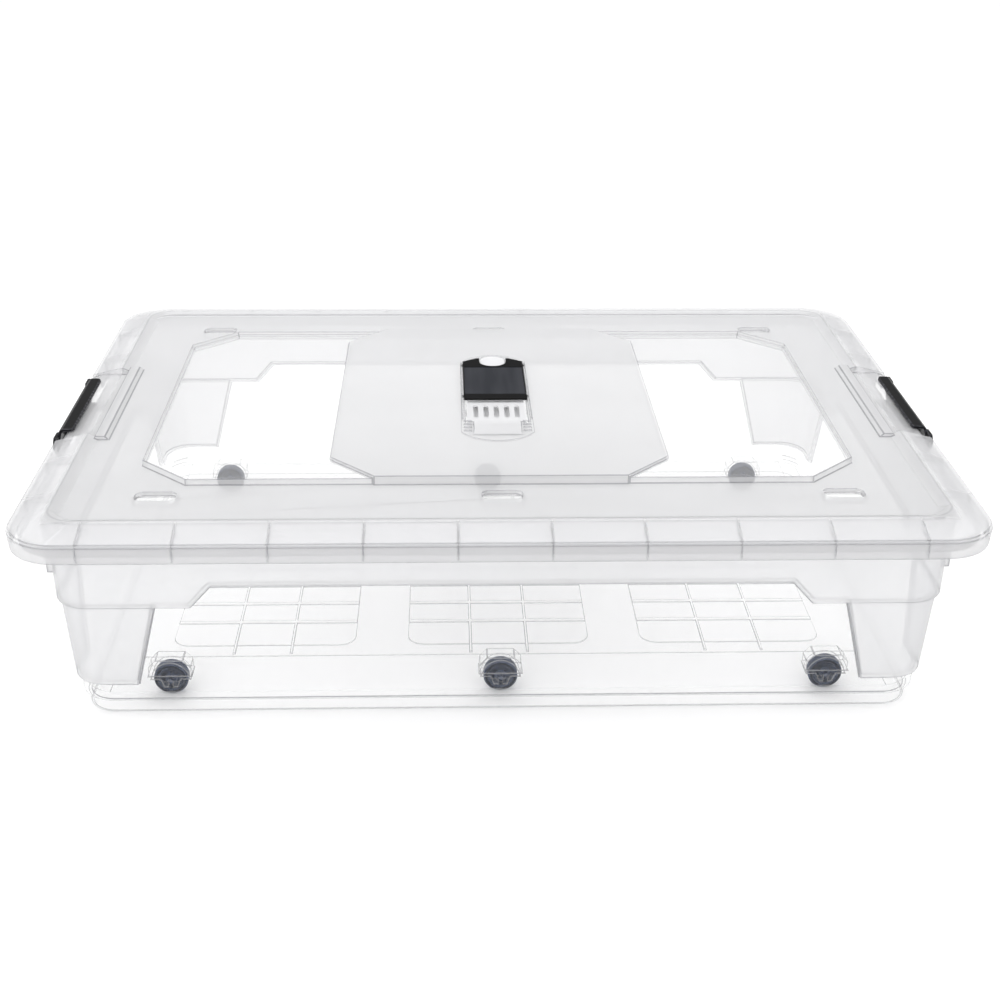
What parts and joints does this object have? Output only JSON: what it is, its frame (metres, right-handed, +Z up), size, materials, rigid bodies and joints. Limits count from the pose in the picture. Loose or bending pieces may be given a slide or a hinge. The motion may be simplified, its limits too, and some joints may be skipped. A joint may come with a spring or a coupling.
{
  "type": "under bed box",
  "caption": "Low clear plastic storage box on small wheels, with a lift-off lid, side clips and a sliding vent cover.",
  "frame": {"origin": "on the floor under the middle of the box", "axes": "+X to the right along the long side, the front long side towards -Y, +Z up"},
  "size_m": [0.805, 0.592, 0.2012],
  "materials": {
    "clear_plastic": "clear, partly frosted",
    "black_plastic": "satin moulded",
    "wheel_plastic": "matte moulded"
  },
  "bodies": {
    "tub": {"tub": "clear_plastic"},
    "lid": {"lid": "clear_plastic", "vent_housing": "clear_plastic"},
    "clip_left": {"clip_left": "black_plastic"},
    "clip_right": {"clip_right": "black_plastic"},
    "wheel_front_left": {"wheel_front_left": "wheel_plastic"},
    "wheel_front_middle": {"wheel_front_middle": "wheel_plastic"},
    "wheel_front_right": {"wheel_front_right": "wheel_plastic"},
    "wheel_rear_left": {"wheel_rear_left": "wheel_plastic"},
    "wheel_rear_middle": {"wheel_rear_middle": "wheel_plastic"},
    "wheel_rear_right": {"wheel_rear_right": "wheel_plastic"},
    "vent_cover": {"vent_cover": "black_plastic"}
  },
  "joints": [
    {"name": "lid_lift", "type": "slide", "parent": "tub", "child": "lid", "axis": [0, 0, 1], "range_m": [0, 0.24]},
    {"name": "clip_left_hinge", "type": "hinge", "parent": "tub", "child": "clip_left", "pos_m": [-0.3885, 0, 0.171], "axis": [0, -1, 0], "range_deg": [0, 100]},
    {"name": "clip_right_hinge", "type": "hinge", "parent": "tub", "child": "clip_right", "pos_m": [0.3885, 0, 0.171], "axis": [0, 1, 0], "range_deg": [0, 100]},
    {"name": "wheel_front_left_spin", "type": "hinge", "parent": "tub", "child": "wheel_front_left", "pos_m": [-0.288, -0.21, 0.015], "axis": [0, 1, 0], "continuous": true},
    {"name": "wheel_front_middle_spin", "type": "hinge", "parent": "tub", "child": "wheel_front_middle", "pos_m": [0, -0.21, 0.015], "axis": [0, 1, 0], "continuous": true},
    {"name": "wheel_front_right_spin", "type": "hinge", "parent": "tub", "child": "wheel_front_right", "pos_m": [0.288, -0.21, 0.015], "axis": [0, 1, 0], "continuous": true},
    {"name": "wheel_rear_left_spin", "type": "hinge", "parent": "tub", "child": "wheel_rear_left", "pos_m": [-0.288, 0.21, 0.015], "axis": [0, 1, 0], "continuous": true},
    {"name": "wheel_rear_middle_spin", "type": "hinge", "parent": "tub", "child": "wheel_rear_middle", "pos_m": [0, 0.21, 0.015], "axis": [0, 1, 0], "continuous": true},
    {"name": "wheel_rear_right_spin", "type": "hinge", "parent": "tub", "child": "wheel_rear_right", "pos_m": [0.288, 0.21, 0.015], "axis": [0, 1, 0], "continuous": true},
    {"name": "vent_cover_slide", "type": "slide", "parent": "lid", "child": "vent_cover", "axis": [0, -1, 0], "range_m": [0, 0.05]}
  ]
}
